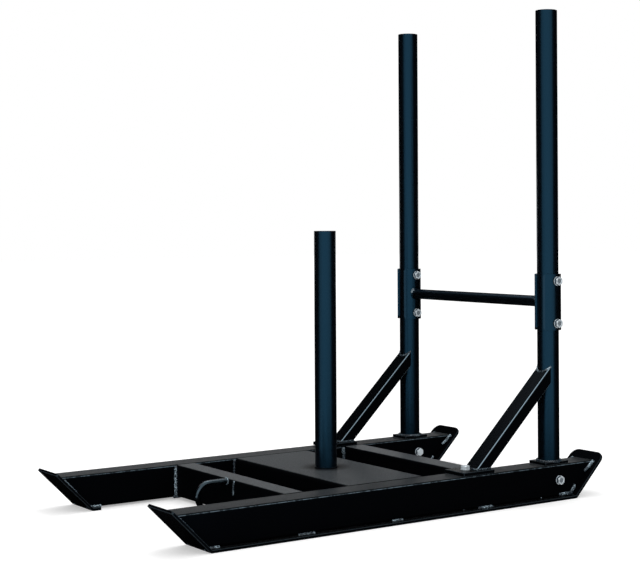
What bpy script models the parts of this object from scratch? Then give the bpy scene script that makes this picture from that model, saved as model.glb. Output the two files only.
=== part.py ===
"""Weight sled: two box-section rails on bent skid plates, joined by two cross members and a
deck that carries the weight post, with two braced push uprights joined by a crossbar.

The sled stands on z = 0 with its middle at the origin. +Z is up, -Y is the tow end and +Y is
the end with the uprights. Left is -X and right is +X. All lengths are in metres.
"""

import math

import bmesh
import bpy
from mathutils import Matrix, Vector

CONTACT = 0.0003
LEFT = -1
RIGHT = 1
SIDES = {"left": LEFT, "right": RIGHT}

RAIL_SPACING = 0.508
RAIL_WIDTH = 0.065
RAIL_HEIGHT = 0.070
RAIL_WALL = 0.003
RAIL_CORNER = 0.006

SKID_THICKNESS = 0.006
SKID_OVERHANG = 0.0165
SOLE_LENGTH = 0.9345
TOE_RISE = 0.0835
HEEL_RISE = 0.0885
SKID_SLOPE = math.radians(45)
TOE_CORNER = 0.003
HEEL_CORNER = 0.020
SOLE_INSET = 0.026
SOLE_INSET_SETBACK = 0.021

FRONT_CROSS_SETBACK = 0.2115
FRONT_CROSS_WIDTH = 0.050
REAR_CROSS_TO_HEEL = 0.2645
REAR_CROSS_WIDTH = 0.057
CROSS_WALL = 0.003
CROSS_CORNER = 0.005

POST_SETBACK = 0.466
DECK_LENGTH = 0.206
DECK_THICKNESS = 0.005
DECK_FLANGE = 0.055
DECK_BEND = 0.010

PIPE_DIAMETER = 0.0483
PIPE_WALL = 0.0032
POST_HEIGHT = 0.521
UPRIGHT_TO_HEEL = 0.0395
UPRIGHT_HEIGHT = 1.011
CAP_DEPTH = 0.018
CAP_CLEARANCE = 0.0003
SOCKET_CLEARANCE = 0.0004

FLANGE_THICKNESS = 0.006
FLANGE_WIDTH = 0.054
FLANGE_LENGTH = 0.068

BRACE_WIDTH = 0.043
BRACE_DEPTH = 0.027
BRACE_WALL = 0.003
BRACE_CORNER = 0.003
BRACE_INNER_CORNER = 0.001
BRACE_ANGLE = math.radians(44)
BRACE_REACH = 0.2282
FOOT_THICKNESS = 0.008
FOOT_LENGTH = 0.085
FOOT_HEEL_MARGIN = 0.002
FOOT_BOLT_SETBACK = 0.030

SADDLE_HEIGHT = 0.125
SADDLE_LEVEL = 0.360
SADDLE_THICKNESS = 0.005
SADDLE_HALF_WRAP = math.radians(64.5)
SADDLE_CORNER = 0.008
SADDLE_BOLT_SPACING = 0.094
CROSSBAR_DIAMETER = 0.0245

BOLT_DIAMETER = 0.012
BOLT_CLEARANCE = 0.0005
BOLT_HEAD_WIDTH = 0.0175
BOLT_HEAD_HEIGHT = 0.0065
BOLT_TAIL = 0.002
HEAD_CHAMFER = 0.0008
NUT_HEIGHT = 0.0075
SADDLE_NUT_HEIGHT = 0.004
THREAD_CLEARANCE = 0.0002
WASHER_DIAMETER = 0.0205
WASHER_THICKNESS = 0.002
RAIL_BOLT_DROP = 0.0335

TOW_BAR_DIAMETER = 0.012
TOW_LOOP_RADIUS = 0.027
TOW_LOOP_REACH = 0.076
TOW_LOOP_DROP = 0.032

PIPE_SEGMENTS = 40
BAR_SEGMENTS = 20
BOLT_SEGMENTS = 24
CORNER_SEGMENTS = 4
SMOOTH_ANGLE = math.radians(32)
MERGE_DISTANCE = 1e-6
ROUND_PROFILE = 0.5

RAIL_BASE = SKID_THICKNESS + CONTACT
RAIL_TOP = RAIL_BASE + RAIL_HEIGHT
RAIL_X = RAIL_SPACING / 2
TOE_RUN = TOE_RISE / math.tan(SKID_SLOPE)
HEEL_RUN = HEEL_RISE / math.tan(SKID_SLOPE)
TOE_BEND_Y = TOE_RUN - (TOE_RUN + SOLE_LENGTH + HEEL_RUN) / 2
HEEL_BEND_Y = TOE_BEND_Y + SOLE_LENGTH
POST_Y = TOE_BEND_Y + POST_SETBACK
UPRIGHT_Y = HEEL_BEND_Y - UPRIGHT_TO_HEEL
UPRIGHT_TOP = RAIL_TOP + UPRIGHT_HEIGHT
FRONT_CROSS_Y = TOE_BEND_Y + FRONT_CROSS_SETBACK
REAR_CROSS_Y = HEEL_BEND_Y - REAR_CROSS_TO_HEEL
SADDLE_Z = RAIL_TOP + SADDLE_LEVEL
SADDLE_BORE = PIPE_DIAMETER / 2 + CONTACT
SADDLE_RADIUS = SADDLE_BORE + SADDLE_THICKNESS
SADDLE_BOLT_LEVELS = (SADDLE_Z - SADDLE_BOLT_SPACING / 2, SADDLE_Z + SADDLE_BOLT_SPACING / 2)
RAIL_BOLT_Z = RAIL_TOP - RAIL_BOLT_DROP
FOOT_BASE = RAIL_TOP + CONTACT
FOOT_TOP = FOOT_BASE + FOOT_THICKNESS
BRACE_BASE = FOOT_TOP + CONTACT
BRACE_TOE_Y = UPRIGHT_Y - (RAIL_TOP + BRACE_REACH - BRACE_BASE) / math.tan(BRACE_ANGLE)
BRACE_HEEL_Y = BRACE_TOE_Y + BRACE_DEPTH / math.sin(BRACE_ANGLE)
FOOT_REAR_Y = BRACE_HEEL_Y + FOOT_HEEL_MARGIN
FOOT_BOLT_Y = FOOT_REAR_Y - FOOT_LENGTH + FOOT_BOLT_SETBACK


def clear_scene():
    """Remove every object, so that only the sled is left."""
    for item in list(bpy.data.objects):
        bpy.data.objects.remove(item)


def finish(name, colour, roughness, metallic):
    """A plain surface finish with one colour."""
    material = bpy.data.materials.new(name)
    material.use_nodes = True
    surface = material.node_tree.nodes["Principled BSDF"]
    surface.inputs["Base Color"].default_value = (*colour, 1)
    surface.inputs["Roughness"].default_value = roughness
    surface.inputs["Metallic"].default_value = metallic
    return material


def powder_coat(piece):
    return finish(piece + "_powder_coat", (0.012, 0.013, 0.015), 0.45, 0.0)


def zinc_plate(piece):
    return finish(piece + "_zinc_plate", (0.62, 0.64, 0.66), 0.3, 1.0)


def black_plastic(piece):
    return finish(piece + "_plastic", (0.010, 0.010, 0.011), 0.55, 0.0)


def make_object(name, shape):
    """Turn a bmesh into a named object, with round faces smooth and edges crisp."""
    bmesh.ops.remove_doubles(shape, verts=shape.verts, dist=MERGE_DISTANCE)
    bmesh.ops.recalc_face_normals(shape, faces=shape.faces)
    mesh = bpy.data.meshes.new(name)
    shape.to_mesh(mesh)
    shape.free()
    mesh.shade_smooth()
    mesh.set_sharp_from_angle(angle=SMOOTH_ANGLE)
    item = bpy.data.objects.new(name, mesh)
    bpy.context.scene.collection.objects.link(item)
    return item


def make_piece(name, shape, material):
    piece = make_object(name, shape)
    piece.data.materials.append(material)
    return piece


def make_cutter(name, shape):
    cutter = make_object(name, shape)
    cutter.hide_render = True
    cutter.display_type = "WIRE"
    return cutter


def cut(piece, cutter):
    """Take the cutter's volume out of the piece."""
    modifier = piece.modifiers.new("cut_by_" + cutter.name, "BOOLEAN")
    modifier.operation = "DIFFERENCE"
    modifier.solver = "EXACT"
    modifier.object = cutter


def circle(radius, segments):
    """Points round a circle, turned so that a flat and not a corner faces each axis."""
    step = 2 * math.pi / segments
    return [
        (radius * math.cos((i + 0.5) * step), radius * math.sin((i + 0.5) * step))
        for i in range(segments)
    ]


def bolt_circle(diameter):
    """Points round a circle, one at each corner of a hexagon and between its corners."""
    step = 2 * math.pi / BOLT_SEGMENTS
    return [
        (diameter / 2 * math.cos(i * step), diameter / 2 * math.sin(i * step))
        for i in range(BOLT_SEGMENTS)
    ]


def hexagon(width):
    """As many points as bolt_circle has, moved out to the sides of a hexagon of this width."""
    points = []
    for u, v in bolt_circle(width):
        to_flat = math.atan2(v, u) % (math.pi / 3) - math.pi / 6
        points.append((u / math.cos(to_flat), v / math.cos(to_flat)))
    return points


def rounded_rectangle(width, height, radius):
    """Points round a rectangle whose corners are arcs."""
    points = []
    for quarter in range(4):
        turn = quarter * math.pi / 2
        across = math.copysign(1, math.cos(turn + math.pi / 4))
        upward = math.copysign(1, math.sin(turn + math.pi / 4))
        centre = (across * (width / 2 - radius), upward * (height / 2 - radius))
        for i in range(CORNER_SEGMENTS + 1):
            angle = turn + i * math.pi / 2 / CORNER_SEGMENTS
            points.append((centre[0] + radius * math.cos(angle), centre[1] + radius * math.sin(angle)))
    return points


def add_ring(shape, outline, place):
    """A loop of vertices, each put in space by the function place."""
    return [shape.verts.new(place(u, v)) for u, v in outline]


def join_rings(shape, first, second):
    for i in range(len(first)):
        j = (i + 1) % len(first)
        shape.faces.new((first[i], first[j], second[j], second[i]))


def add_bar(shape, outline, start, end):
    """A solid bar of one outline between two end planes."""
    first = add_ring(shape, outline, start)
    second = add_ring(shape, outline, end)
    join_rings(shape, first, second)
    shape.faces.new(first)
    shape.faces.new(second)


def add_tube(shape, outer, inner, start, end):
    """A hollow bar, open at both ends, between two end planes."""
    rings = [
        add_ring(shape, outer, start),
        add_ring(shape, outer, end),
        add_ring(shape, inner, end),
        add_ring(shape, inner, start),
    ]
    for i, ring in enumerate(rings):
        join_rings(shape, ring, rings[(i + 1) % len(rings)])


def add_box(shape, low, high):
    """A box between two opposite corners."""
    size = Vector(high) - Vector(low)
    middle = (Vector(high) + Vector(low)) / 2
    matrix = Matrix.Translation(middle) @ Matrix.Diagonal((*size, 1))
    bmesh.ops.create_cube(shape, size=1, matrix=matrix)


def along_x(x, y, z):
    """Place an outline square to X, with its middle at (y, z)."""
    return lambda u, v: (x, y + u, z + v)


def along_z(x, y, z):
    """Place an outline square to Z, with its middle at (x, y)."""
    return lambda u, v: (x + u, y + v, z)


def along_axis(origin, axis):
    """A function that gives placings square to the axis, at a distance from the origin."""
    turn = Vector((0, 0, 1)).rotation_difference(Vector(axis)).to_matrix()
    start = Vector(origin)

    def at(distance):
        return lambda u, v: start + turn @ Vector((u, v, distance))

    return at


def toe_face_y(z, clearance):
    """Y of the upper face of the front slope at height z, moved back by a clearance."""
    inner_bend = TOE_BEND_Y + SKID_THICKNESS * math.tan(SKID_SLOPE / 2)
    return inner_bend - (z - SKID_THICKNESS) / math.tan(SKID_SLOPE) + clearance / math.sin(SKID_SLOPE)


def heel_face_y(z, clearance):
    """Y of the upper face of the rear slope at height z, moved forward by a clearance."""
    inner_bend = HEEL_BEND_Y - SKID_THICKNESS * math.tan(SKID_SLOPE / 2)
    return inner_bend + (z - SKID_THICKNESS) / math.tan(SKID_SLOPE) - clearance / math.sin(SKID_SLOPE)


def make_rail(name, side):
    """A box section whose slanted ends lie on the slopes of its skid plate."""
    middle = RAIL_BASE + RAIL_HEIGHT / 2
    outer = rounded_rectangle(RAIL_WIDTH, RAIL_HEIGHT, RAIL_CORNER)
    inner = rounded_rectangle(
        RAIL_WIDTH - 2 * RAIL_WALL, RAIL_HEIGHT - 2 * RAIL_WALL, RAIL_CORNER - RAIL_WALL
    )
    shape = bmesh.new()
    add_tube(
        shape,
        outer,
        inner,
        lambda u, v: (side * RAIL_X + u, toe_face_y(middle + v, CONTACT), middle + v),
        lambda u, v: (side * RAIL_X + u, heel_face_y(middle + v, CONTACT), middle + v),
    )
    rail = make_piece(name, shape, powder_coat(name))
    holes = bmesh.new()
    socket = circle(PIPE_DIAMETER / 2 + SOCKET_CLEARANCE, PIPE_SEGMENTS)
    add_bar(
        holes,
        socket,
        along_z(side * RAIL_X, UPRIGHT_Y, middle),
        along_z(side * RAIL_X, UPRIGHT_Y, RAIL_TOP + RAIL_WALL),
    )
    cut(rail, make_cutter(name + "_socket_cutter", holes))
    bolt_holes = bmesh.new()
    hole = circle(BOLT_DIAMETER / 2 + BOLT_CLEARANCE, BOLT_SEGMENTS)
    reach = RAIL_WIDTH / 2 + RAIL_WALL
    for direction in (LEFT, RIGHT):
        add_bar(
            bolt_holes,
            hole,
            along_x(side * RAIL_X + direction * reach, UPRIGHT_Y, RAIL_BOLT_Z),
            along_x(side * RAIL_X + direction * (RAIL_WIDTH / 2 - 2 * RAIL_WALL), UPRIGHT_Y, RAIL_BOLT_Z),
        )
    add_bar(
        bolt_holes,
        hole,
        along_z(side * RAIL_X, FOOT_BOLT_Y, RAIL_TOP - 2 * RAIL_WALL),
        along_z(side * RAIL_X, FOOT_BOLT_Y, RAIL_TOP + RAIL_WALL),
    )
    cut(rail, make_cutter(name + "_bolt_cutter", bolt_holes))
    return rail


def skid_profile():
    """Side outline of the skid plate, as (y, z) points: lower face from toe to heel, then back."""
    slope = (math.cos(SKID_SLOPE), math.sin(SKID_SLOPE))
    toe_length = TOE_RISE / slope[1]
    heel_length = HEEL_RISE / slope[1]
    tangent = SKID_THICKNESS * math.tan(SKID_SLOPE / 2)
    lower = [(TOE_BEND_Y - toe_length * slope[0], TOE_RISE)]
    for i in range(CORNER_SEGMENTS + 1):
        angle = SKID_SLOPE * (1 - i / CORNER_SEGMENTS)
        lower.append(
            (TOE_BEND_Y + tangent - SKID_THICKNESS * math.sin(angle), SKID_THICKNESS * (1 - math.cos(angle)))
        )
    for i in range(CORNER_SEGMENTS + 1):
        angle = SKID_SLOPE * i / CORNER_SEGMENTS
        lower.append(
            (HEEL_BEND_Y - tangent + SKID_THICKNESS * math.sin(angle), SKID_THICKNESS * (1 - math.cos(angle)))
        )
    lower.append((HEEL_BEND_Y + heel_length * slope[0], HEEL_RISE))
    toe_tip = lower[0]
    heel_tip = lower[-1]
    upper = [
        (heel_tip[0] - SKID_THICKNESS * slope[1], heel_tip[1] + SKID_THICKNESS * slope[0]),
        (HEEL_BEND_Y - tangent, SKID_THICKNESS),
        (TOE_BEND_Y + tangent, SKID_THICKNESS),
        (toe_tip[0] + SKID_THICKNESS * slope[1], toe_tip[1] + SKID_THICKNESS * slope[0]),
    ]
    return lower + upper


def round_tip(shape, is_tip, radius, segments):
    """Round the two corners of a slope's end, along the edges through its thickness."""
    bmesh.ops.recalc_face_normals(shape, faces=shape.faces)
    edges = [
        edge
        for edge in shape.edges
        if all(is_tip(vert.co) for vert in edge.verts)
        and abs(edge.verts[0].co.x - edge.verts[1].co.x) < CONTACT
    ]
    bmesh.ops.bevel(
        shape,
        geom=edges,
        offset=radius,
        offset_type="OFFSET",
        segments=segments,
        profile=ROUND_PROFILE,
        affect="EDGES",
    )


def make_skid_plate(name, side):
    """A flat bar under the rail, bent up over both slanted ends of the rail."""
    half_width = RAIL_WIDTH / 2 + SKID_OVERHANG
    outline = skid_profile()
    shape = bmesh.new()
    add_bar(
        shape,
        outline,
        lambda y, z: (side * RAIL_X - half_width, y, z),
        lambda y, z: (side * RAIL_X + half_width, y, z),
    )
    toe_limit = TOE_BEND_Y - TOE_RUN / 2
    heel_limit = HEEL_BEND_Y + HEEL_RUN / 2
    round_tip(shape, lambda co: co.y < toe_limit, TOE_CORNER, CORNER_SEGMENTS)
    round_tip(shape, lambda co: co.y > heel_limit, HEEL_CORNER, 2 * CORNER_SEGMENTS)
    plate = make_piece(name, shape, powder_coat(name))
    notch = bmesh.new()
    inner_edge = side * (RAIL_X - half_width - SKID_OVERHANG)
    notch_edge = side * (RAIL_X - RAIL_WIDTH / 2 + SOLE_INSET)
    add_box(
        notch,
        (min(inner_edge, notch_edge), TOE_BEND_Y + SOLE_INSET_SETBACK, -SKID_THICKNESS),
        (max(inner_edge, notch_edge), HEEL_BEND_Y - SOLE_INSET_SETBACK, 2 * SKID_THICKNESS),
    )
    cut(plate, make_cutter(name + "_notch_cutter", notch))
    return plate


def make_cross_member(name, front_y, width):
    """A box section between the inner faces of the rails, as high as they are."""
    centre_y = front_y + width / 2
    centre_z = RAIL_BASE + RAIL_HEIGHT / 2
    reach = RAIL_X - RAIL_WIDTH / 2 - CONTACT
    outer = rounded_rectangle(width, RAIL_HEIGHT, CROSS_CORNER)
    inner = rounded_rectangle(
        width - 2 * CROSS_WALL, RAIL_HEIGHT - 2 * CROSS_WALL, CROSS_CORNER - CROSS_WALL
    )
    shape = bmesh.new()
    add_tube(shape, outer, inner, along_x(-reach, centre_y, centre_z), along_x(reach, centre_y, centre_z))
    return make_piece(name, shape, powder_coat(name))


def deck_profile():
    """End outline of the deck as (y, z) from its top centre: a plate with both edges folded down."""
    half = DECK_LENGTH / 2
    inner_bend = DECK_BEND - DECK_THICKNESS
    outer_side = []
    inner_side = []
    for i in range(CORNER_SEGMENTS + 1):
        angle = i * math.pi / 2 / CORNER_SEGMENTS
        reach = math.sin(angle)
        drop = 1 - math.cos(angle)
        outer_side.append((half - DECK_BEND + DECK_BEND * reach, -DECK_BEND * drop))
        inner_side.append((half - DECK_BEND + inner_bend * reach, -DECK_THICKNESS - inner_bend * drop))
    edge = [(half, -DECK_FLANGE), (half - DECK_THICKNESS, -DECK_FLANGE)]
    rear = outer_side + edge + inner_side[::-1]
    front = [(-y, z) for y, z in rear[::-1]]
    return rear + front


def make_deck():
    """The plate that the weights lie on, level with the rails, with a socket for the post."""
    reach = RAIL_X - RAIL_WIDTH / 2 - CONTACT
    outline = deck_profile()
    shape = bmesh.new()
    add_bar(shape, outline, along_x(-reach, POST_Y, RAIL_TOP), along_x(reach, POST_Y, RAIL_TOP))
    deck = make_piece("deck_plate", shape, powder_coat("deck_plate"))
    socket = bmesh.new()
    add_bar(
        socket,
        circle(PIPE_DIAMETER / 2 + SOCKET_CLEARANCE, PIPE_SEGMENTS),
        along_z(0, POST_Y, RAIL_TOP - 2 * DECK_THICKNESS),
        along_z(0, POST_Y, RAIL_TOP + DECK_THICKNESS),
    )
    cut(deck, make_cutter("deck_plate_socket_cutter", socket))
    return deck


def make_pipe(name, x, y, base, top):
    shape = bmesh.new()
    add_tube(
        shape,
        circle(PIPE_DIAMETER / 2, PIPE_SEGMENTS),
        circle(PIPE_DIAMETER / 2 - PIPE_WALL, PIPE_SEGMENTS),
        along_z(x, y, base),
        along_z(x, y, top),
    )
    return make_piece(name, shape, powder_coat(name))


def make_cap(name, x, y, top):
    """A plug pressed into the end of a pipe, flush with its rim."""
    shape = bmesh.new()
    outline = circle(PIPE_DIAMETER / 2 - PIPE_WALL - CAP_CLEARANCE, PIPE_SEGMENTS)
    add_bar(shape, outline, along_z(x, y, top - CAP_DEPTH), along_z(x, y, top))
    return make_piece(name, shape, black_plastic(name))


def make_upright(name, side):
    """A pipe that stands in its rail, drilled for the rail bolt and the saddle bolts."""
    x = side * RAIL_X
    base = RAIL_BASE + RAIL_WALL + CONTACT
    upright = make_pipe(name, x, UPRIGHT_Y, base, UPRIGHT_TOP)
    holes = bmesh.new()
    for level in (RAIL_BOLT_Z, *SADDLE_BOLT_LEVELS):
        add_bar(
            holes,
            circle(BOLT_DIAMETER / 2 + BOLT_CLEARANCE, BOLT_SEGMENTS),
            along_x(x - PIPE_DIAMETER, UPRIGHT_Y, level),
            along_x(x + PIPE_DIAMETER, UPRIGHT_Y, level),
        )
    cut(upright, make_cutter(name + "_bolt_cutter", holes))
    return upright


def make_base_flange(name, side):
    """The plate round the foot of an upright, on top of the rail."""
    x = side * RAIL_X
    shape = bmesh.new()
    add_box(
        shape,
        (x - FLANGE_WIDTH / 2, UPRIGHT_Y - FLANGE_LENGTH / 2, RAIL_TOP + CONTACT),
        (x + FLANGE_WIDTH / 2, UPRIGHT_Y + FLANGE_LENGTH / 2, RAIL_TOP + CONTACT + FLANGE_THICKNESS),
    )
    flange = make_piece(name, shape, powder_coat(name))
    bore = bmesh.new()
    add_bar(
        bore,
        circle(PIPE_DIAMETER / 2 + SOCKET_CLEARANCE, PIPE_SEGMENTS),
        along_z(x, UPRIGHT_Y, RAIL_TOP - FLANGE_THICKNESS),
        along_z(x, UPRIGHT_Y, RAIL_TOP + 2 * FLANGE_THICKNESS),
    )
    cut(flange, make_cutter(name + "_bore_cutter", bore))
    return flange


def make_brace_foot(name, side):
    """The plate under the lower end of a brace, bolted to the rail."""
    x = side * RAIL_X
    shape = bmesh.new()
    add_box(
        shape,
        (x - RAIL_WIDTH / 2, FOOT_REAR_Y - FOOT_LENGTH, FOOT_BASE),
        (x + RAIL_WIDTH / 2, FOOT_REAR_Y, FOOT_TOP),
    )
    foot = make_piece(name, shape, powder_coat(name))
    hole = bmesh.new()
    add_bar(
        hole,
        circle(BOLT_DIAMETER / 2 + BOLT_CLEARANCE, BOLT_SEGMENTS),
        along_z(x, FOOT_BOLT_Y, FOOT_BASE - FOOT_THICKNESS),
        along_z(x, FOOT_BOLT_Y, FOOT_TOP + FOOT_THICKNESS),
    )
    cut(foot, make_cutter(name + "_bolt_cutter", hole))
    return foot


def make_brace(name, side):
    """A slanting box section: its lower end lies on the foot and its upper end fits the upright."""
    x = side * RAIL_X
    direction = Vector((0, math.cos(BRACE_ANGLE), math.sin(BRACE_ANGLE)))
    normal = Vector((0, -math.sin(BRACE_ANGLE), math.cos(BRACE_ANGLE)))
    toe = Vector((x, BRACE_TOE_Y, BRACE_BASE))

    def at_foot(u, v):
        point = toe + Vector((u, 0, 0)) + normal * (v - BRACE_DEPTH / 2)
        return point + direction * ((BRACE_BASE - point.z) / direction.z)

    def at_upright(u, v):
        point = toe + Vector((u, 0, 0)) + normal * (v - BRACE_DEPTH / 2)
        return point + direction * ((UPRIGHT_Y - point.y) / direction.y)

    outer = rounded_rectangle(BRACE_WIDTH, BRACE_DEPTH, BRACE_CORNER)
    inner = rounded_rectangle(
        BRACE_WIDTH - 2 * BRACE_WALL, BRACE_DEPTH - 2 * BRACE_WALL, BRACE_INNER_CORNER
    )
    shape = bmesh.new()
    add_tube(shape, outer, inner, at_foot, at_upright)
    brace = make_piece(name, shape, powder_coat(name))
    cope = bmesh.new()
    add_bar(
        cope,
        circle(PIPE_DIAMETER / 2 + SOCKET_CLEARANCE, PIPE_SEGMENTS),
        along_z(x, UPRIGHT_Y, RAIL_TOP + FLANGE_THICKNESS + BRACE_DEPTH),
        along_z(x, UPRIGHT_Y, RAIL_TOP + BRACE_REACH + BRACE_DEPTH),
    )
    cut(brace, make_cutter(name + "_cope_cutter", cope))
    return brace


def saddle_columns():
    """(angle, half height) across a saddle, closer together where its corners are round."""
    corner_wrap = SADDLE_CORNER / SADDLE_RADIUS
    columns = []
    for i in range(CORNER_SEGMENTS + 1):
        turn = i * math.pi / 2 / CORNER_SEGMENTS
        angle = SADDLE_HALF_WRAP - corner_wrap * (1 - math.cos(turn))
        columns.append((angle, SADDLE_HEIGHT / 2 - SADDLE_CORNER * (1 - math.sin(turn))))
    inner_wrap = SADDLE_HALF_WRAP - corner_wrap
    spans = 3 * CORNER_SEGMENTS
    middle = [(inner_wrap * (1 - 2 * i / spans), SADDLE_HEIGHT / 2) for i in range(1, spans)]
    return columns + middle + [(-angle, half) for angle, half in columns[::-1]]


def make_saddle(name, side, facing):
    """A curved plate that hugs the upright on the side that it faces."""
    x = side * RAIL_X
    shape = bmesh.new()
    columns = []
    for angle, half in saddle_columns():
        across = facing * math.cos(angle)
        along = math.sin(angle)
        columns.append(
            [
                shape.verts.new((x + radius * across, UPRIGHT_Y + radius * along, SADDLE_Z + height))
                for radius, height in (
                    (SADDLE_BORE, -half),
                    (SADDLE_RADIUS, -half),
                    (SADDLE_RADIUS, half),
                    (SADDLE_BORE, half),
                )
            ]
        )
    for first, second in zip(columns, columns[1:]):
        join_rings(shape, first, second)
    shape.faces.new(columns[0])
    shape.faces.new(columns[-1])
    saddle = make_piece(name, shape, powder_coat(name))
    holes = bmesh.new()
    for level in SADDLE_BOLT_LEVELS:
        add_bar(
            holes,
            circle(BOLT_DIAMETER / 2 + BOLT_CLEARANCE, BOLT_SEGMENTS),
            along_x(x, UPRIGHT_Y, level),
            along_x(x + facing * 2 * SADDLE_RADIUS, UPRIGHT_Y, level),
        )
    cut(saddle, make_cutter(name + "_bolt_cutter", holes))
    return saddle


def make_crossbar():
    """The round bar between the two inner saddles, its ends hollowed to fit them."""
    reach = RAIL_X - SADDLE_BORE
    shape = bmesh.new()
    add_bar(
        shape,
        circle(CROSSBAR_DIAMETER / 2, 2 * BAR_SEGMENTS),
        along_x(-reach, UPRIGHT_Y, SADDLE_Z),
        along_x(reach, UPRIGHT_Y, SADDLE_Z),
    )
    crossbar = make_piece("crossbar", shape, powder_coat("crossbar"))
    for side_name, side in SIDES.items():
        cope = bmesh.new()
        add_bar(
            cope,
            circle(SADDLE_RADIUS + SOCKET_CLEARANCE, PIPE_SEGMENTS),
            along_z(side * RAIL_X, UPRIGHT_Y, SADDLE_Z - CROSSBAR_DIAMETER),
            along_z(side * RAIL_X, UPRIGHT_Y, SADDLE_Z + CROSSBAR_DIAMETER),
        )
        cut(crossbar, make_cutter("crossbar_" + side_name + "_cope_cutter", cope))
    return crossbar


def make_tow_loop():
    """A round bar bent to a U that stands on edge at the middle of the front cross member."""
    reach = TOW_LOOP_REACH - TOW_BAR_DIAMETER / 2 - TOW_LOOP_RADIUS
    centre_y = FRONT_CROSS_Y - reach
    centre_z = RAIL_TOP - TOW_LOOP_DROP
    spans = 4 * CORNER_SEGMENTS
    path = [(FRONT_CROSS_Y - CONTACT, centre_z + TOW_LOOP_RADIUS, 0.0)]
    for i in range(spans + 1):
        turn = i * math.pi / spans
        path.append(
            (centre_y - TOW_LOOP_RADIUS * math.sin(turn), centre_z + TOW_LOOP_RADIUS * math.cos(turn), turn)
        )
    path.append((FRONT_CROSS_Y - CONTACT, centre_z - TOW_LOOP_RADIUS, math.pi))
    outline = circle(TOW_BAR_DIAMETER / 2, BAR_SEGMENTS)
    shape = bmesh.new()
    rings = [
        add_ring(
            shape,
            outline,
            lambda u, v, y=y, z=z, turn=turn: (u, y - v * math.sin(turn), z + v * math.cos(turn)),
        )
        for y, z, turn in path
    ]
    for first, second in zip(rings, rings[1:]):
        join_rings(shape, first, second)
    shape.faces.new(rings[0])
    shape.faces.new(rings[-1])
    return make_piece("tow_loop", shape, powder_coat("tow_loop"))


def make_bolt(name, seat, axis, reach):
    """A hex bolt whose head bears on the seat and whose shank reaches back from it."""
    at = along_axis(seat, axis)
    tip = -reach
    crown = hexagon(BOLT_HEAD_WIDTH - 2 * HEAD_CHAMFER)
    flats = hexagon(BOLT_HEAD_WIDTH)
    shank = bolt_circle(BOLT_DIAMETER)
    point = bolt_circle(BOLT_DIAMETER - 2 * HEAD_CHAMFER)
    shape = bmesh.new()
    rings = [
        add_ring(shape, crown, at(BOLT_HEAD_HEIGHT)),
        add_ring(shape, flats, at(BOLT_HEAD_HEIGHT - HEAD_CHAMFER)),
        add_ring(shape, flats, at(0)),
        add_ring(shape, shank, at(0)),
        add_ring(shape, shank, at(tip + HEAD_CHAMFER)),
        add_ring(shape, point, at(tip)),
    ]
    for first, second in zip(rings, rings[1:]):
        join_rings(shape, first, second)
    shape.faces.new(rings[0])
    shape.faces.new(rings[-1])
    return make_piece(name, shape, zinc_plate(name))


def make_washer(name, seat, axis):
    at = along_axis(seat, axis)
    bore = bolt_circle(BOLT_DIAMETER + 2 * BOLT_CLEARANCE)
    shape = bmesh.new()
    add_tube(shape, bolt_circle(WASHER_DIAMETER), bore, at(0), at(WASHER_THICKNESS))
    return make_piece(name, shape, zinc_plate(name))


def make_nut(name, seat, axis, height):
    """A hex nut whose bearing face lies on the seat."""
    at = along_axis(seat, axis)
    flats = hexagon(BOLT_HEAD_WIDTH)
    bore = bolt_circle(BOLT_DIAMETER + 2 * THREAD_CLEARANCE)
    shape = bmesh.new()
    rings = [
        add_ring(shape, flats, at(0)),
        add_ring(shape, flats, at(height - HEAD_CHAMFER)),
        add_ring(shape, hexagon(BOLT_HEAD_WIDTH - 2 * HEAD_CHAMFER), at(height)),
        add_ring(shape, bore, at(height)),
        add_ring(shape, bore, at(0)),
    ]
    for i, ring in enumerate(rings):
        join_rings(shape, ring, rings[(i + 1) % len(rings)])
    return make_piece(name, shape, zinc_plate(name))


def fasten(
    prefix, face, outward, thickness, washer_under_nut, nut_height=NUT_HEIGHT, tail=BOLT_TAIL
):
    """A bolt, its washers and its nut through a stack of this thickness, head at the given face."""
    outward = Vector(outward)
    spacer = WASHER_THICKNESS + CONTACT
    head_side = Vector(face) + outward * CONTACT
    nut_side = Vector(face) - outward * (thickness + CONTACT)
    make_washer(prefix + "_bolt_washer", head_side, outward)
    if washer_under_nut:
        make_washer(prefix + "_nut_washer", nut_side, -outward)
        nut_side = nut_side - outward * spacer
    head_seat = head_side + outward * spacer
    reach = (head_seat - nut_side).length + nut_height + tail
    make_bolt(prefix + "_bolt", head_seat, outward, reach)
    make_nut(prefix + "_nut", nut_side, -outward, nut_height)


def fasten_saddles(side_name, side):
    """Both pairs of bolts have their heads to the right and thin nuts, flush with the bolts' ends."""
    for level_name, level in zip(("lower", "upper"), SADDLE_BOLT_LEVELS):
        prefix = side_name + "_" + level_name + "_saddle"
        face = (side * RAIL_X + SADDLE_RADIUS, UPRIGHT_Y, level)
        stack = 2 * SADDLE_RADIUS
        fasten(prefix, face, (RIGHT, 0, 0), stack, False, nut_height=SADDLE_NUT_HEIGHT, tail=0)


def fasten_upright(side_name, side):
    face = (side * (RAIL_X + RAIL_WIDTH / 2), UPRIGHT_Y, RAIL_BOLT_Z)
    fasten(side_name + "_rail", face, (side, 0, 0), RAIL_WIDTH, washer_under_nut=True)


def fasten_foot(side_name, side):
    face = (side * RAIL_X, FOOT_BOLT_Y, FOOT_TOP)
    stack = FOOT_TOP - RAIL_TOP + RAIL_WALL
    fasten(side_name + "_foot", face, (0, 0, 1), stack, washer_under_nut=False)


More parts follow.
